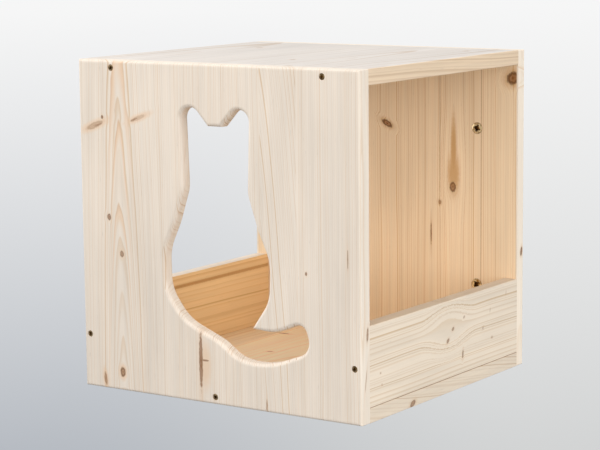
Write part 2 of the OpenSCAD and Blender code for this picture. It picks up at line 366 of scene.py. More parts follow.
def spruce(name, grain, face, staves, knots, colours, ring_width, figure=1.0, edge_knots=(),
           edge_colours=None, end_at=None, arches=(), skin_colours=None):
    """A board's own spruce. grain names the axes across, along and through it, and face is the through
    place of its show face. edge_knots lie on the right edge, by their through and along places.
    edge_colours show on the long edges, and on the ends where they lie at end_at. skin_colours show on the
    show face alone. Lengths are in millimetres."""
    material, tree = blank_material(name)
    spot = put(tree, "SeparateXYZ", {0: put(tree, "TexCoord").outputs["Object"]}).outputs
    across, along, through = [spot[AXES[letter]] for letter in grain]
    depth = sum_up(tree, "ABSOLUTE", minus(tree, through, face / 1000))

    # The staves' values are kept in the colours of a stepped ramp, each moved to lie between 0 and 1
    first = staves[0][0] / 1000
    span = STAVE_END - first
    table = put(tree, "ValToRGB", {"Fac": sum_up(tree, "DIVIDE", minus(tree, across, first), span)})
    ramp = table.color_ramp
    ramp.interpolation = "CONSTANT"
    for i, (left, pith, pith_depth, lean, tone) in enumerate(staves):
        stop = ramp.elements[0] if i == 0 else ramp.elements.new((left / 1000 - first) / span)
        stop.color = (pith / 1000 / PITH_REACH + 0.5, pith_depth / 1000 / PITH_REACH + 0.5,
                      lean / LEAN_REACH + 0.5, tone)
    ramp.elements.remove(ramp.elements[-1])
    kept = put(tree, "SeparateColor", {0: table.outputs["Color"]}).outputs
    pith, pith_depth, lean = [
        times(tree, minus(tree, kept[i], 0.5), reach)
        for i, reach in enumerate((PITH_REACH, PITH_REACH, LEAN_REACH))
    ]

    past_edge = minus(tree, sum_up(tree, "ABSOLUTE", across), EDGE_AT)
    if end_at is not None:
        past_end = minus(tree, sum_up(tree, "ABSOLUTE", along), end_at / 1000)
        past_edge = sum_up(tree, "MAXIMUM", past_edge, past_end)
    on_edge = soft_step(tree, past_edge, -EDGE_SKIN * 2, -EDGE_SKIN)
    on_face = rest_of(tree, on_edge)
    on_skin = soft_drop(tree, depth, EDGE_SKIN * 0.5, EDGE_SKIN * 1.5)

    masks = {"Bend": 0.0, "Core": 0.0, "Rim": 0.0, "Halo": 0.0}
    for branch in knots:
        cut = place_group(tree, knot_group, {"Across": across, "Along": along, **branch, **masks})
        masks = {mask: cut.outputs[mask] for mask in masks}
    for ring in arches:
        shown = times(tree, on_skin, ring["Dark"])
        cut = place_group(tree, arch_group, {
            "Across": across, "Along": along, **ring, "Dark": shown,
            "Core": masks["Core"], "Halo": masks["Halo"]})
        masks |= {"Core": cut.outputs["Core"], "Halo": cut.outputs["Halo"]}
    for mask in ("Core", "Rim", "Halo"):
        masks[mask] = times(tree, masks[mask], on_face)
    for branch in edge_knots:
        shown = {label: times(tree, on_edge, branch[label]) for label in ("Dark", "Rim Dark", "Stain Dark")}
        cut = place_group(tree, knot_group, {
            "Across": through, "Along": along, **branch, **shown, "Push": 0.0, **masks})
        masks = {mask: cut.outputs[mask] for mask in masks}

    tints = {label: (*colour, 1.0) for label, colour in colours.items()}
    for label, colour in (edge_colours or {}).items():
        tints[label] = mix_colour(tree, on_edge, tints[label], (*colour, 1.0))
    for label, colour in (skin_colours or {}).items():
        tints[label] = mix_colour(tree, on_skin, tints[label], (*colour, 1.0))
    wood = place_group(tree, spruce_group, {
        "Across": across, "Along": along, "Through": depth, "Pith Across": pith, "Pith Depth": pith_depth,
        "Lean": lean, "Tone": table.outputs["Alpha"], "Ring Width": ring_width / 1000, "Figure": figure,
        **tints, **masks}).outputs
    cover(tree, wood, GRAIN_RELIEF, {"Specular IOR Level": WOOD_SHEEN})
    return material


def dress(node, material):
    """Gives a CAD node its finish."""
    node.data.materials.clear()
    node.data.materials.append(material)


floor_low, floor_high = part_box("floor_panel")
# The stave from -128 mm is palest, partly its own tone and partly painted light from the open side
floor_staves = [
    stave(-200, -120, 60, 0.03, 0.4), stave(-128, -60, -40, -0.02, 1.0), stave(-64, -20, 90, 0.04, 1.0),
    stave(2, 60, -50, 0.02, 0.55), stave(70, 150, 80, -0.03), stave(134, 176, -70, 0.16, 0.5)]
floor_knots = [streak(-118.7, -74, 1.8, 9, 1.0, tilt=88), knot(-69, -178, 2.0, 1.8, 70, 0.6, 0.2)]
# The long streak at the top of the long edges is painted shade of the gap where the rails stand
floor_edge_knots = [knot(-196, -274, 3.0, 1.9, 20, 0.8, 0.5), streak(-182, -193, 0.5, 400, 0.8)]
dress(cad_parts["floor_panel"], spruce(
    "floor_spruce", "xyz", floor_high.z * 1000, floor_staves, floor_knots,
    # Its colours are partly the wood's and partly painted light and bounce light of the dim inside
    {"Early Wood": (1.0, 0.82, 0.585), "Late Wood": (0.86, 0.60, 0.36), "Heart": (0.24, 0.10, 0.04),
     "Stain": (0.66, 0.42, 0.22)},
    ring_width=5.0, figure=0.8, edge_knots=floor_edge_knots,
    edge_colours={"Early Wood": (0.79, 0.67, 0.53), "Late Wood": (0.50, 0.31, 0.16)}))


# Side rails. Two narrow spruce boards stand on the floor's outer edges and keep a cat from rolling out.
# Their ends butt against the end panels, and screws come up into them through the floor.
right_rail_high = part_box("right_rail")[1]
right_rail_staves = [stave(-182, -330, 20, 0.02, 0.5)]
right_rail_knots = [
    swirl(-122, -190, 12, 1.7, 0.85),
    knot(-123.8, -180, 1.9, 1.5, 30, 0.75, 0.3, 0.0, 0.6),
    knot(-136.3, -192, 2.1, 1.6, 40, 0.8, 0.4, 0.0, 0.6),
    knot(-113.7, -153, 1.5, 1.5, 30, 0.5, 0.2, 0.5, 0.4),
    knot(-135.5, -106, 1.5, 1.3, 20, 0.45, 0.1, 0.5, 0.4), knot(-151, -83, 1.5, 1.3, 0, 0.5, 0.1, 0.5, 0.4),
    knot(-159, -156, 1.6, 3.0, 84, 0.8, 0.4, 0.5), streak(-116, -88, 0.8, 3.0, 0.5, tilt=80),
    streak(-101, -47, 0.8, 3.2, 0.5, tilt=80), knot(-146, -345, 1.0, 1.2, 0, 0.5, 0.1),
    # The long streak at the rail's foot is painted shade of the gap between rail and floor
    knot(-160, -342, 1.0, 1.2, 0, 0.4, 0.1), streak(-182, -193, 0.5, 400, 0.8)]
dress(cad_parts["right_rail"], spruce(
    "right_rail_spruce", "zyx", right_rail_high.x * 1000, right_rail_staves, right_rail_knots,
    # These darker colours on the top, inner face and ends are painted shade under the roof
    {"Early Wood": (0.74, 0.60, 0.46), "Late Wood": (0.58, 0.42, 0.27), "Heart": (0.24, 0.10, 0.04),
     "Stain": (0.74, 0.52, 0.34)},
    ring_width=4.6, figure=1.8,
    skin_colours={"Early Wood": (0.87, 0.745, 0.60), "Late Wood": (0.69, 0.505, 0.32)}))

left_rail_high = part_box("left_rail")[1]
left_rail_staves = [stave(-182, -330, 30, 0.02, 0.5)]
left_rail_knots = [streak(-102.5, -200, 2.2, 420, 0.75), knot(-150, -330, 2.2, 1.4, 20, 0.6, 0.3)]
dress(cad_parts["left_rail"], spruce(
    "left_rail_spruce", "zyx", left_rail_high.x * 1000, left_rail_staves, left_rail_knots,
    {"Early Wood": (0.91, 0.79, 0.65), "Late Wood": (0.76, 0.57, 0.38), "Heart": (0.45, 0.20, 0.05),
     "Stain": (0.66, 0.40, 0.17)},
    ring_width=8.0, figure=1.3,
    # The inner face's darker, warmer colours are painted shade and bounce light of the inside
    skin_colours={"Early Wood": (0.93, 0.64, 0.34), "Late Wood": (0.71, 0.41, 0.155)}))


# Rail screws. Four bronzed countersunk wood screws come up through the floor, two into the foot of each
# rail. They are headed and rolled from steel wire, with a cross recess, a plain waist and a sharp thread.
SCREW_D = 0.004
SCREW_L = 0.045
SCREW_PITCH = 0.0022
SCREW_HEAD_D = 0.0076
SCREW_WAIST_D = 0.00288
SCREW_SINK = 0.0006
SCREW_THREAD_AT = 0.019
HEAD_RIM = 0.0003
HEAD_DOME = ((0.7, 0.0), (0.86, 0.3), (0.95, 0.8), (1.0, 1.3))     # radius in head radii, drop in rims
SLOT = (0.74, 0.20, 0.45)       # length, width and height of the tool for one slot, in head widths
SLOT_TAPER = 0.6
MOUTH_R = 0.22                  # round mouth where the two slots cross, in head widths
MOUTH_DEPTH = 0.25
BRIGHT_RING = (0.40, 0.46)      # head ring free of painted shade, in head widths from its middle
ROOT_SHARE = 0.64               # thread's root diameter, as a share of its outer diameter
RIDGE_FLANK = 0.52              # thickness of the thread's ridge, over its height
RIDGE_STEPS = 24                # steps in one turn of the thread
POINT_R = 0.00015
SLIVER = 0.000001               # edges shorter than this are left over from cutting, and are merged away
SMOOTH_ANGLE = math.radians(32)
RAIL_SCREW_X = 0.191
RAIL_SCREW_YS = (-0.098, -0.288)


def deselect():
    """Leaves no object selected."""
    bpy.ops.object.select_all(action="DESELECT")


def pick(piece):
    """Selects one piece alone and makes it the active one."""
    deselect()
    piece.select_set(True)
    bpy.context.view_layer.objects.active = piece


def edit_selecting(piece, wanted, kind):
    """Opens a piece in edit mode, with only those vertices, edges or faces selected that are wanted."""
    bpy.ops.object.mode_set(mode="EDIT")
    bpy.ops.mesh.select_mode(type=kind)
    bpy.ops.mesh.select_all(action="DESELECT")
    mesh = bmesh.from_edit_mesh(piece.data)
    for part in {"VERT": mesh.verts, "EDGE": mesh.edges, "FACE": mesh.faces}[kind]:
        part.select = wanted(part)
    mesh.select_flush_mode()
    bmesh.update_edit_mesh(piece.data)


def combine(piece, tool, operation="DIFFERENCE"):
    """Cuts a tool out of a piece, or joins or trims them, and removes the tool."""
    deselect()
    bpy.context.view_layer.objects.active = piece
    cut = piece.modifiers.new("cut", "BOOLEAN")
    cut.object = tool
    cut.operation = operation
    cut.solver = "EXACT"
    bpy.ops.object.modifier_apply(modifier=cut.name)
    bpy.data.objects.remove(tool)


def turn(rings, sides=32):
    """A shape turned about z. The rings are (radius, height), from the top down."""
    deselect()
    bpy.ops.mesh.primitive_circle_add(vertices=sides, radius=rings[0][0], fill_type="NGON")
    piece = bpy.context.object
    bpy.ops.object.mode_set(mode="EDIT")
    bpy.ops.mesh.select_all(action="SELECT")
    bpy.ops.transform.translate(value=(0, 0, rings[0][1]))
    for (radius, height), (next_radius, next_height) in zip(rings, rings[1:]):
        bpy.ops.mesh.extrude_region_move(TRANSFORM_OT_translate={"value": (0, 0, next_height - height)})
        step = next_radius / radius
        bpy.ops.transform.resize(value=(step, step, 1), center_override=(0, 0, next_height))
    bpy.ops.mesh.select_all(action="SELECT")
    bpy.ops.mesh.normals_make_consistent(inside=False)
    bpy.ops.object.mode_set(mode="OBJECT")
    return piece


def wind_thread(crest_r, pitch, low, high):
    """A sharp right-hand ridge wound up the z axis from low to high. It reaches in almost to the axis."""
    deselect()
    upright = (math.pi / 2, math.pi / 2, 0)
    bpy.ops.mesh.primitive_circle_add(vertices=3, radius=1, fill_type="NOTHING", rotation=upright)
    ridge = bpy.context.object
    bpy.ops.object.transform_apply(location=False, rotation=True, scale=False)
    depth = crest_r - POINT_R
    radius = depth / 1.5        # an even triangle is one and a half radii deep
    bpy.ops.object.mode_set(mode="EDIT")
    bpy.ops.mesh.select_all(action="SELECT")
    bpy.ops.transform.resize(value=(radius, 1, depth * RIDGE_FLANK), center_override=(0, 0, 0))
    bpy.ops.transform.translate(value=(crest_r - radius, 0, low))
    bpy.ops.object.mode_set(mode="OBJECT")
    winding = ridge.modifiers.new("winding", "SCREW")
    winding.angle = math.tau
    winding.screw_offset = pitch
    winding.iterations = round((high - low) / pitch)
    winding.steps = RIDGE_STEPS
    winding.render_steps = RIDGE_STEPS
    bpy.ops.object.modifier_apply(modifier=winding.name)
    bpy.ops.object.mode_set(mode="EDIT")
    bpy.ops.mesh.select_all(action="SELECT")
    bpy.ops.mesh.remove_doubles(threshold=SLIVER)
    bpy.ops.mesh.fill_holes(sides=3)
    bpy.ops.mesh.select_all(action="SELECT")
    bpy.ops.mesh.normals_make_consistent(inside=False)
    bpy.ops.object.mode_set(mode="OBJECT")
    return ridge


def countersunk_screw(width, length, head_width, waist_width, thread_at, pitch, shank=0.0):
    """A countersunk screw with the top of its head at z = 0, its point down and a plain waist above its
    thread. shank is the length of a thick part between the waist and the thread."""
    head_r = head_width / 2
    waist_r = waist_width / 2
    thread_r = width / 2
    root_r = thread_r * ROOT_SHARE
    thread_top = -thread_at - pitch / 4
    point_top = width - length
    rings = [(head_r * radius, -HEAD_RIM * drop) for radius, drop in HEAD_DOME]
    rings += [(waist_r, -HEAD_RIM - head_r + waist_r)]
    if shank > 0:
        rings += [(waist_r, shank - thread_at), (thread_r, shank - thread_at), (thread_r, -thread_at)]
    else:
        rings += [(waist_r, -thread_at)]
    rings += [(root_r, thread_top), (root_r, point_top), (POINT_R, -length)]
    body = turn(rings)
    ridge = wind_thread(thread_r, pitch, pitch / 2 - length, thread_top)
    sharpener = turn([(thread_r * 1.1, 0), (thread_r * 1.1, point_top), (POINT_R * 2, -length)])
    combine(ridge, sharpener, "INTERSECT")
    combine(body, ridge, "UNION")
    slot_l, slot_w, slot_h = [share * head_width for share in SLOT]
    for flat in ((slot_l, slot_w), (slot_w, slot_l)):
        deselect()
        bpy.ops.mesh.primitive_cube_add(size=1)
        slot = bpy.context.object
        bpy.ops.object.mode_set(mode="EDIT")
        bpy.ops.mesh.select_all(action="SELECT")
        bpy.ops.transform.resize(value=(*flat, slot_h))
        bpy.ops.object.mode_set(mode="OBJECT")
        edit_selecting(slot, lambda v: v.co.z < 0, "VERT")
        bpy.ops.transform.resize(value=(SLOT_TAPER, SLOT_TAPER, 1))
        bpy.ops.object.mode_set(mode="OBJECT")
        combine(body, slot)
    mouth = head_width * MOUTH_R
    combine(body, turn([(mouth, mouth), (mouth, 0), (mouth / 2, -head_width * MOUTH_DEPTH)], sides=16))
    pick(body)
    edit_selecting(body, lambda v: True, "VERT")
    bpy.ops.mesh.remove_doubles(threshold=SLIVER)
    bpy.ops.mesh.dissolve_degenerate(threshold=SLIVER)
    bpy.ops.object.mode_set(mode="OBJECT")
    bpy.ops.object.shade_smooth_by_angle(angle=SMOOTH_ANGLE)
    return body


DRIFT_SCALE = 260.0             # cycles a metre of a coat's drifting tone, and of its scuffs
SCUFF_SCALE = 2400.0
SCUFF_SHARE = 0.2               # the scuffs' part in the tone
PLATE_TONES = (0.38, 0.62)      # below the first the coat is dull, above the second bright
PLATE_ROUGH_LEAST = 0.14
PLATE_ROUGH_SCUFF = 0.3
SCUFF_RELIEF = 0.1
PLATE_RELIEF = 0.0003


def make_plated_group():
    """A thin plated coat: its two tones drift over the metal, and handling scuffs it."""
    tree, given, out = start_group("plated", [], ["Bright", "Dull"],
                                   [("Color", "Color"), ("Roughness", "Float"), ("Height", "Float")])
    place = put(tree, "TexCoord").outputs["Object"]
    drift = put(tree, "TexNoise", {"Vector": place, "Scale": DRIFT_SCALE, "Detail": 3.0}).outputs["Fac"]
    scuff = put(tree, "TexNoise", {"Vector": place, "Scale": SCUFF_SCALE, "Detail": 4.0}).outputs["Fac"]
    tone = plus(tree, times(tree, drift, 1.0 - SCUFF_SHARE), times(tree, scuff, SCUFF_SHARE))
    tone = soft_step(tree, tone, *PLATE_TONES)
    tree.links.new(mix_colour(tree, tone, given["Dull"], given["Bright"]), out["Color"])
    rough = plus(tree, times(tree, scuff, PLATE_ROUGH_SCUFF), PLATE_ROUGH_LEAST)
    tree.links.new(rough, out["Roughness"])
    tree.links.new(plus(tree, drift, times(tree, scuff, SCUFF_RELIEF)), out["Height"])
    return tree


plated_group = make_plated_group()


def plated(name, bright, dull):
    """A plated steel finish."""
    material, tree = blank_material(name)
    coat = place_group(tree, plated_group, {"Bright": (*bright, 1.0), "Dull": (*dull, 1.0)}).outputs
    cover(tree, coat, PLATE_RELIEF, {"Metallic": 1.0})
    return material


def drive(pattern, name, place, facing, spin, node):
    """A copy of a screw in its place. facing turns its head from +z, and spin is where its last turn
    stopped, in degrees."""
    pick(pattern)
    bpy.ops.object.duplicate(linked=False)
    screw = bpy.context.object
    screw.name = name
    screw.matrix_world = Matrix.Translation(place) @ facing @ Matrix.Rotation(math.radians(spin), 4, "Z")
    bpy.ops.object.transform_apply(location=True, rotation=True, scale=True)
    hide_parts(node)
    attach(screw, "root")


def paint_recess_shade(screw, head_width):
    """Gives the faces in a screw's recess and on its rim a dark finish that is painted shade: the shade
    deep in the recess and of the gap round the head."""
    inner, outer = [share * head_width for share in BRIGHT_RING]

    def is_dark(face):
        """Whether a face looks up from below the head's top, outside the ring that stays bright."""
        place = face.calc_center_median()
        return face.normal.z > 0.01 and place.z < -HEAD_RIM / 3 and not inner < place.xy.length < outer

    screw.data.materials.append(recess_painted_shade)
    edit_selecting(screw, is_dark, "FACE")
    screw.active_material_index = 1
    bpy.ops.object.material_slot_assign()
    bpy.ops.object.mode_set(mode="OBJECT")


# The dark finish of the recesses and rims is painted shade, not a colour of the steel
recess_painted_shade = plated("recess_painted_shade", bright=(0.30, 0.15, 0.04), dull=(0.12, 0.06, 0.02))
board_screw = countersunk_screw(SCREW_D, SCREW_L, SCREW_HEAD_D, SCREW_WAIST_D, SCREW_THREAD_AT, SCREW_PITCH)
dress(board_screw, plated("bronzed_steel", bright=(0.42, 0.30, 0.16), dull=(0.17, 0.11, 0.05)))
paint_recess_shade(board_screw, SCREW_HEAD_D)
head_down = Matrix.Rotation(math.pi, 4, "X")
for side, name in ((-1, "left"), (1, "right")):
    for k, y in enumerate(RAIL_SCREW_YS):
        place = Vector((side * RAIL_SCREW_X, y, floor_low.z + SCREW_SINK))
        drive(board_screw, f"rail_screw_{name}_{k + 1}", place, head_down, 25 + 38 * k + 17 * side,
              "rail_screws")


# Front panel. A spruce panel with upright grain, sawn and routed with a cat-shaped door whose edges are
# rounded over on both faces. Its outer edge is rounded in front, and it is screwed to the boards behind it.
front_low, front_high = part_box("front_panel")
panel_w = front_high.x - front_low.x
panel_t = front_high.y - front_low.y
panel_h = front_high.z - front_low.z
panel_mid = (front_low + front_high) / 2
OUTER_EDGE_R = 0.004
DOOR_EDGE_R = 0.005
CORNER_R = 0.0015
ROUND_STEPS = 7
ARC_STEP = 5             # turn of one step round a corner of an outline, in degrees
TRIM_SPARE = 0.00002     # room between the panel's sides and the outline that rounds its corners
DOOR_FOOT = 0.0535
DOOR_HEAD = 0.0285
CROWN_W = 0.020
HEAD_W = 0.099
NECK_W = 0.091
SHOULDER_W = 0.119
HAUNCH_W = 0.151
TAIL_REACH = 0.1325
cat_h = panel_h - DOOR_FOOT - DOOR_HEAD
# Corners of the door: right of the middle, then height and radius as shares of the cat's height
cat_side = [
    (CROWN_W / 2, 0.863, 0.0), (HEAD_W / 2, 1.0, 0.0425), (NECK_W / 2, 0.626, 0.11),
    (SHOULDER_W / 2, 0.495, 0.19), (HAUNCH_W / 2, 0.388, 0.173), (HAUNCH_W * 0.49, 0.241, 0.1415)]
cat_tail = [
    (TAIL_REACH * 0.377, 0.134, 0.0), (TAIL_REACH * 0.619, 0.127, 0.19),
    (TAIL_REACH * 0.917, 0.178, 0.0345), (TAIL_REACH, 0.074, 0.0565),
    (TAIL_REACH * 0.525, 0.0, 0.33), (TAIL_REACH * 0.223, 0.017, 0.1415),
    (TAIL_REACH * 0.03, 0.072, 0.19), (TAIL_REACH * -0.366, 0.137, 0.19)]
cat_corners = cat_side + cat_tail + [(-right, up, r) for right, up, r in reversed(cat_side)]


def trace(corners, y):
    """Draws a closed outline at depth y: a point is pulled along its straights and spun round its corners.
    A corner is (right, up, radius)."""
    deselect()
    bpy.ops.mesh.primitive_plane_add(size=0.01)
    outline = bpy.context.object
    bpy.ops.object.mode_set(mode="EDIT")
    bpy.ops.mesh.select_mode(type="VERT")
    bpy.ops.mesh.select_all(action="SELECT")
    bpy.ops.mesh.merge(type="CENTER")
    pencil = Vector((0, 0, 0))
    places = [Vector((right, y, up)) for right, up, radius in corners]
    for i, place in enumerate(places):
        before = (places[i - 1] - place).normalized()
        after = (places[(i + 1) % len(places)] - place).normalized()
        turned = math.pi - before.angle(after)
        radius = corners[i][2]
        start = place + before * radius * math.tan(turned / 2)
        finish = place + after * radius * math.tan(turned / 2)
        if i == 0:
            bpy.ops.transform.translate(value=start)
        else:
            bpy.ops.mesh.extrude_region_move(TRANSFORM_OT_translate={"value": start - pencil})
        pencil = start
        if radius > 0:
            centre = place + (before + after).normalized() * radius / math.cos(turned / 2)
            axis = (start - centre).cross(finish - centre).normalized()
            steps = max(4, round(math.degrees(turned) / ARC_STEP))
            bpy.ops.mesh.spin(steps=steps, angle=-turned, center=centre, axis=axis)
            pencil = finish
    bpy.ops.mesh.select_all(action="SELECT")
    bpy.ops.mesh.edge_face_add()
    bpy.ops.object.mode_set(mode="OBJECT")
    return outline


deselect()
bpy.ops.mesh.primitive_cube_add(size=1)
front_board = bpy.context.object
front_board.name = "front_board"
bpy.ops.object.mode_set(mode="EDIT")
bpy.ops.transform.resize(value=(panel_w, panel_t, panel_h))
bpy.ops.transform.translate(value=panel_mid)
edit_selecting(front_board, lambda e: all(v.co.y < panel_mid.y for v in e.verts), "EDGE")
bpy.ops.mesh.bevel(offset=OUTER_EDGE_R, segments=ROUND_STEPS, affect="EDGES")
bpy.ops.object.mode_set(mode="OBJECT")


def through_panel(corners):
    """A tool with the outline of the corners that passes right through the panel."""
    tool = trace(corners, front_low.y - panel_t / 2)
    edit_selecting(tool, lambda f: True, "FACE")
    bpy.ops.mesh.extrude_region_move(TRANSFORM_OT_translate={"value": (0, panel_t * 2, 0)})
    bpy.ops.mesh.select_all(action="SELECT")
    bpy.ops.mesh.normals_make_consistent(inside=False)
    bpy.ops.object.mode_set(mode="OBJECT")
    return tool


half_w = panel_w / 2 + TRIM_SPARE
half_h = panel_h / 2 + TRIM_SPARE
square = ((half_w, -half_h), (half_w, half_h), (-half_w, half_h), (-half_w, -half_h))
combine(front_board, through_panel([(right, up, CORNER_R) for right, up in square]), "INTERSECT")
combine(front_board, through_panel(
    [(right, front_low.z + DOOR_FOOT + up * cat_h, r * cat_h) for right, up, r in cat_corners]))


DOOR_CLEAR = 0.02        # the door lies further in than this, the screws and the outer edges further out


def in_door(place):
    """Whether a place lies in the part of the panel that the door is cut from."""
    return abs(place.x) < panel_w / 2 - DOOR_CLEAR and abs(place.z) < panel_h / 2 - DOOR_CLEAR


def on_door_rim(edge):
    """Whether an edge lies between the door's wall and one of the panel's faces."""
    facing = [abs(face.normal.y) for face in edge.link_faces]
    inside = all(in_door(v.co) for v in edge.verts)
    return inside and len(facing) == 2 and max(facing) > 0.9 and min(facing) < 0.1


edit_selecting(front_board, on_door_rim, "EDGE")
bpy.ops.mesh.bevel(offset=DOOR_EDGE_R, segments=ROUND_STEPS, affect="EDGES", clamp_overlap=False)
bpy.ops.object.mode_set(mode="OBJECT")

END_SCREWS = ((-0.15, 0.191), (0.15, 0.191), (-0.003, -0.191), (-0.191, -0.135), (0.191, -0.135))
head_front = Matrix.Rotation(math.pi / 2, 4, "X")
HEAD_ROOM = 0.00015
THREAD_ROOM = 0.0003
SINK_EASE = 0.0003       # the countersink's mouth is eased by this
SINK_PAST = 0.0002       # the drill reaches this far out of the panel's face
sink_r = SCREW_HEAD_D / 2 + HEAD_ROOM
hole_r = SCREW_D / 2 + THREAD_ROOM
for x, z in END_SCREWS:
    drill = turn([
        (sink_r + SINK_EASE, SCREW_SINK + SINK_PAST), (sink_r, SCREW_SINK - SINK_EASE), (sink_r, -HEAD_RIM),
        (hole_r, -HEAD_RIM - sink_r + hole_r), (hole_r, -2 * panel_t)])
    drill.matrix_world = Matrix.Translation((x, front_low.y + SCREW_SINK, z)) @ head_front
    combine(front_board, drill)
pick(front_board)
bpy.ops.object.shade_smooth_by_angle(angle=SMOOTH_ANGLE)
evened = front_board.modifiers.new("evened", "WEIGHTED_NORMAL")
evened.keep_sharp = True
bpy.ops.object.modifier_apply(modifier=evened.name)

front_staves = [
    stave(-200, -139, 22.4, 0.031, 0.43), stave(-82, -330, -40, 0.0, 0.46), stave(-20, 190, 60, 0.01, 0.50),
    stave(24, -160, -60, -0.02, 0.49), stave(64, -20, -80, -0.125, 0.45), stave(112, 400, 30, 0.01, 0.52),
    stave(160, -90, 60, 0.01, 0.50)]
front_knots = [
    knot(-176, 121.5, 3.4, 4.0, 69, 0.5, 0.1, 0.1, 1.0), streak(-171, 122, 1.3, 7, 0.8, tilt=69),
    knot(-110, 133, 2.6, 4.8, 70, 0.35, 0.0, 0.1, 0.9), streak(-116, 131, 1.3, 6, 0.8, tilt=66),
    knot(-164.4, 131.7, 1.6, 1.2, 0, 0.9, 0.8), knot(-157, 11.5, 2.6, 1.4, 0, 0.9, 0.5),
    knot(-138.6, -32, 2.6, 1.4, 0, 0.8, 0.4), knot(-141, -177, 3.4, 1.6, 0, 0.85, 0.6, 0.7, 1.3),
    knot(-168, -188, 2.2, 3.5, -6, 0.8, 0.2, 0.3, 1.2), knot(127, -32.4, 1.3, 1.5, 0, 0.9, 0.5),
    streak(-23, -150, 2.8, 36, 1.0), streak(-17, -148.5, 1.3, 6, 0.9, tilt=88),
    flame(-17, -154, 5.0, 16, 0.9), streak(183, -11.5, 0.8, 12, 0.8), streak(71, -192, 0.8, 8, 1.0)]
front_arches = [arch(-139, 230, 2.2, 95, 1.2), arch(-140, 131, 1.6, 50, 1.3), arch(-141, 33, 2.0, 34, 1.1)]
front_edge_knots = [knot(-372.5, -97, 1.8, 4.2, 5, 0.8, 0.4), streak(-376, -149, 0.9, 13, 0.6, tilt=9)]
dress(front_board, spruce(
    "front_spruce", "xzy", front_low.y * 1000, front_staves, front_knots,
    {"Early Wood": (0.83, 0.725, 0.615), "Late Wood": (0.71, 0.52, 0.345), "Heart": (0.24, 0.10, 0.035),
     "Stain": (0.80, 0.56, 0.37)},
    ring_width=2.2, figure=1.05, edge_knots=front_edge_knots, arches=front_arches,
    edge_colours={"Early Wood": (0.87, 0.765, 0.645), "Late Wood": (0.77, 0.60, 0.44)}))
front_board.data.materials.append(spruce(
    "door_wall_spruce", "xzy", front_low.y * 1000, front_staves, front_knots,
    {"Early Wood": (0.865, 0.752, 0.635), "Late Wood": (0.67, 0.48, 0.32), "Heart": (0.24, 0.10, 0.035),
     "Stain": (0.74, 0.50, 0.31)},
    ring_width=2.4, figure=1.1))
FACE_TURN = 0.85         # faces that look forward or back by less than this belong to the door's wall


def on_door_wall(face):
    """Whether a face belongs to the door's wall or to its rounded edges."""
    return abs(face.normal.y) < FACE_TURN and in_door(face.calc_center_median())


edit_selecting(front_board, on_door_wall, "FACE")
front_board.active_material_index = 1
bpy.ops.object.material_slot_assign()
bpy.ops.object.mode_set(mode="OBJECT")
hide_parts("front_panel")
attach(front_board, "root")


# Front screws. Five of the board screws, sunk just below the face: two into the roof's end, one into the
# floor's end and one into each rail's end. Each was stopped where it bit, so no two recesses line up.
for k, (x, z) in enumerate(END_SCREWS):
    place = Vector((x, front_low.y + SCREW_SINK, z))
    drive(board_screw, f"front_screw_{k + 1}", place, head_front, 20 + 67 * k,
          "front_screws")


# Back panel. The same spruce panel without a door. It takes the weight: four long screws go through it
# into the wall. Knots and resin darken its inner face, and its colours, darker and warmer than its edges',
# are partly the wood and partly painted shade and bounce light of the inside.
back_low, back_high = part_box("back_panel")
back_staves = [
    stave(-200, -460, 40, 0.02), stave(-140, 240, 60, 0.02, 0.55), stave(-84, -350, -50, 0.01),
    stave(-30, 320, 50, 0.03, 0.48), stave(33, -330, 30, 0.02, 0.52), stave(88, -160, 42, 0.03, 0.56),
    stave(148, 520, 30, 0.01, 0.62)]
back_knots = [
    knot(9, 100, 3.4, 2.2, -62, 1.0, 0.7, 0.8, 0.8), knot(107, 23, 4.0, 1.5, 0, 0.85, 0.6, 0.9, 0.8),
    knot(88, 2, 2.0, 1.3, 0, 0.7, 0.2), knot(193, 165, 6.8, 1.2, 60, 1.0, 0.7, 0.9, 1.0),
    swirl(108, 46, 8, 3.5, 0.35), streak(75, -39, 1.0, 15, 1.0),
    flame(108, 40, 5.0, 16, 1.1), flame(108, 68, 2.5, 26, 1.2),
    flame(108, 92, 1.3, 16, 0.9), streak(88, 110, 0.5, 120, 0.5), streak(148, 40, 0.6, 260, 0.45)]
back_edge_knots = [knot(-7, -54, 2.2, 2.2, 10, 0.9, 0.8)]
dress(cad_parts["back_panel"], spruce(
    "back_spruce", "xzy", back_low.y * 1000, back_staves, back_knots,
    {"Early Wood": (0.935, 0.715, 0.48), "Late Wood": (0.74, 0.44, 0.20), "Heart": (0.24, 0.08, 0.018),
     "Stain": (0.64, 0.35, 0.13)},
    ring_width=2.8, figure=1.25, edge_knots=back_edge_knots, end_at=200,
    edge_colours={"Early Wood": (0.91, 0.79, 0.65), "Late Wood": (0.82, 0.64, 0.46)}))


# Back screws. Five of the board screws hold the boards from behind as the front screws do in front.
# Their heads are sunk into the wall face, so that it lies flat on the wall.
head_back = Matrix.Rotation(-math.pi / 2, 4, "X")
for k, (x, z) in enumerate(END_SCREWS):
    place = Vector((x, back_high.y - SCREW_SINK, z))
    drive(board_screw, f"back_screw_{k + 1}", place, head_back, 50 + 41 * k,
          "back_screws")
bpy.data.objects.remove(board_screw)


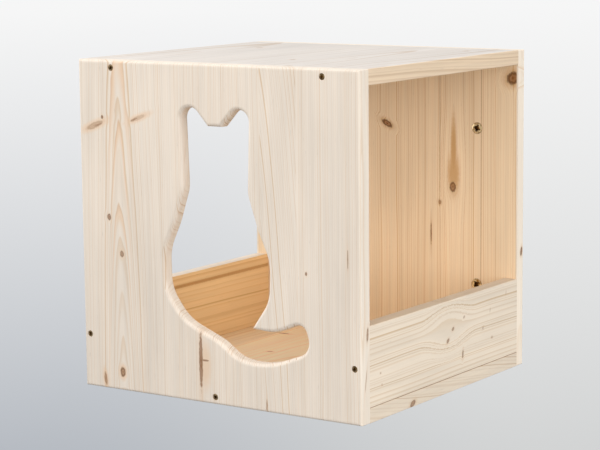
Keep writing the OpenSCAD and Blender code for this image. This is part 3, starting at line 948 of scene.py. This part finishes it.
# Wall screws. Four yellow-zinc countersunk screws, driven from inside through the back panel. Their waists
# fill the holes, and their shanks and threads stand out of the back for the plugs in the wall.
WALL_SCREW_D = 0.008
WALL_SCREW_L = 0.060
WALL_PITCH = 0.0035
WALL_HEAD_D = 0.0146
WALL_WAIST_D = 0.007
WALL_SHANK_L = 0.009
WALL_SPAN_X = 0.284
WALL_SPAN_Z = 0.200
wall_screw = countersunk_screw(WALL_SCREW_D, WALL_SCREW_L, WALL_HEAD_D, WALL_WAIST_D,
                               back_high.y - back_low.y + WALL_SHANK_L, WALL_PITCH, WALL_SHANK_L)
dress(wall_screw, plated("yellow_zinc", bright=(1.0, 0.84, 0.50), dull=(0.40, 0.21, 0.06)))
paint_recess_shade(wall_screw, WALL_HEAD_D)
for side, name in ((-1, "left"), (1, "right")):
    for level, height in ((-1, "low"), (1, "high")):
        place = Vector((side * WALL_SPAN_X / 2, back_low.y, level * WALL_SPAN_Z / 2))
        drive(wall_screw, f"wall_screw_{name}_{height}", place, head_front, 33 + 20 * side + 14 * level,
              "wall_screws")
bpy.data.objects.remove(wall_screw)


# Roof board. Spruce staves like the floor's, flush with the tops of both end panels.
# A cat can sit on it, so its top is sanded and its long edges are eased.
roof_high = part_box("roof_panel")[1]
roof_staves = [
    stave(-200, -150, 70, 0.03), stave(-136, -190, -60, 0.02, 0.45), stave(-72, 40, 50, 0.02, 0.55),
    stave(-8, -40, 90, 0.03), stave(58, 90, 30, 0.05), stave(126, 192, 64, 0.03)]
roof_knots = [knot(-120, -120, 3.0, 1.5, 10, 0.6), knot(40, -280, 2.6), knot(150, -60, 2.4, 1.6, 0, 0.5)]
dress(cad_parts["roof_panel"], spruce(
    "roof_spruce", "xyz", roof_high.z * 1000, roof_staves, roof_knots,
    {"Early Wood": (0.69, 0.625, 0.565), "Late Wood": (0.56, 0.44, 0.335), "Heart": (0.28, 0.13, 0.06),
     "Stain": (0.68, 0.44, 0.26)},
    ring_width=4.6, edge_colours={"Early Wood": (0.80, 0.625, 0.445), "Late Wood": (0.54, 0.35, 0.195)}))


# Studio. A pale floor well below the hanging cube, soft lamps in front and at both sides, and an even sky.
# The camera stands where the photograph was taken from.
FLOOR_DROP = 0.55
FLOOR_SIZE = 80
VIEW_X = -0.56           # level direction that the camera looks in
VIEW_Y = 0.83
CAMERA_BACK = 2.7        # distance from the camera to the frame's origin
# The glow's grey near the camera and its darker left side are painted shade on the backdrop
TINT_FULL = 4.2          # up to this distance from the camera the floor has all its tint
TINT_NONE = 0.17         # and it has none where TINT_FULL is this share of the distance
TINT_SIDES = (-0.7, 0.4)        # from left to right of the cube, the tint goes from blue to grey
TINT_LEFT = (0.485, 0.515, 0.56, 1)
TINT_RIGHT = (0.69, 0.70, 0.70, 1)
FAR_WHITE = (1.0, 1.0, 1.0, 1)
FLOOR_GREY = (0.25, 0.25, 0.25, 1)
GLOW_SHARE = 0.9         # the rest of the floor is matt and takes the cube's shadow
SKY_TINT = (0.96, 0.98, 1.0, 1)
SKY_STRENGTH = 0.93
BACKDROP = (0.97, 0.97, 0.97, 1)


def seen_itself(tree):
    """1 for rays that show a surface itself, straight or mirrored, and 0 for rays that gather its light."""
    rays = put(tree, "LightPath").outputs
    mirrored = sum_up(tree, "MAXIMUM", rays["Is Glossy Ray"], rays["Is Transmission Ray"])
    return sum_up(tree, "MAXIMUM", rays["Is Camera Ray"], mirrored)


deselect()
bpy.ops.mesh.primitive_plane_add(size=FLOOR_SIZE)
studio_floor = bpy.context.object
studio_floor.name = "studio_floor"
bpy.ops.object.mode_set(mode="EDIT")
bpy.ops.transform.translate(value=(0, 0, cad_box[0].z - FLOOR_DROP))
bpy.ops.object.mode_set(mode="OBJECT")
pale, tree = blank_material("pale_floor")
spot = put(tree, "SeparateXYZ", {0: put(tree, "TexCoord").outputs["Object"]}).outputs
ahead = plus(tree, times(tree, spot["Y"], VIEW_Y), times(tree, spot["X"], VIEW_X))
aside = minus(tree, times(tree, spot["X"], VIEW_Y), times(tree, spot["Y"], VIEW_X))
distance = plus(tree, sum_up(tree, "MAXIMUM", ahead, 0.0), CAMERA_BACK)
near = sum_up(tree, "DIVIDE", TINT_FULL, distance)
near = put(tree, "MapRange", {"Value": near, "From Min": TINT_NONE, "From Max": 1.0}).outputs[0]
close_tint = mix_colour(tree, soft_step(tree, aside, *TINT_SIDES), TINT_LEFT, TINT_RIGHT)
tint = mix_colour(tree, near, FAR_WHITE, close_tint)
matt = put(tree, "BsdfDiffuse", {"Color": FLOOR_GREY}).outputs[0]
glow = put(tree, "Emission", {"Color": tint}).outputs[0]
share = times(tree, seen_itself(tree), GLOW_SHARE)
put(tree, "OutputMaterial", {"Surface": put(tree, "MixShader", {0: share, 1: matt, 2: glow}).outputs[0]})
dress(studio_floor, pale)

world = bpy.data.worlds.new("studio")
bpy.context.scene.world = world
world.use_nodes = True
tree = world.node_tree
tree.nodes.clear()
sky = put(tree, "Background", {"Color": SKY_TINT, "Strength": SKY_STRENGTH}).outputs[0]
white = put(tree, "Background", {"Color": BACKDROP, "Strength": 1.0}).outputs[0]
shown = put(tree, "MixShader", {0: seen_itself(tree), 1: sky, 2: white}).outputs[0]
put(tree, "OutputWorld", {"Surface": shown})


def soft_lamp(name, place, aim, size, power):
    """A square lamp at place that faces aim."""
    lamp = bpy.data.lights.new(name, "AREA")
    lamp.size = size
    lamp.energy = power
    stand = bpy.data.objects.new(name, lamp)
    bpy.context.scene.collection.objects.link(stand)
    stand.location = place
    stand.rotation_euler = (Vector(aim) - Vector(place)).to_track_quat("-Z", "Y").to_euler()


cube_mid = (cad_box[0] + cad_box[1]) / 2
soft_lamp("key", (-0.3, -0.85, 0.95), (-0.12, -0.386, 0.15), 0.5, 2.9)
soft_lamp("front", (1.6, -2.6, 0.5), cube_mid, 1.6, 13)
soft_lamp("side", (3.3, -1.0, 0.35), cube_mid, 2.0, 33)
soft_lamp("far_side", (-3.0, -1.2, 0.35), cube_mid, 2.0, 37)

# Lens, place and turns were fitted to the straight edges in the photograph; the turns are in radians
camera = bpy.data.cameras.new("camera")
camera.sensor_width = 36.0
camera.lens = 122.876
stand = bpy.data.objects.new("camera", camera)
bpy.context.scene.collection.objects.link(stand)
CAMERA_PLACE = Vector((1.3947596, -2.2757908, 0.3682865))
YAW = -0.59364393
PITCH = -0.15033781
ROLL = -0.00972096
forward = Vector((math.sin(YAW) * math.cos(PITCH), math.cos(YAW) * math.cos(PITCH), math.sin(PITCH)))
level = Vector((math.cos(YAW), -math.sin(YAW), 0))
upward = level.cross(forward)
to_right = level * math.cos(ROLL) + upward * math.sin(ROLL)
to_top = upward * math.cos(ROLL) - level * math.sin(ROLL)
turned = Matrix((to_right, to_top, -forward)).transposed().to_4x4()
stand.matrix_world = Matrix.Translation(CAMERA_PLACE) @ turned
bpy.context.scene.camera = stand
bpy.context.scene.view_settings.view_transform = "Standard"
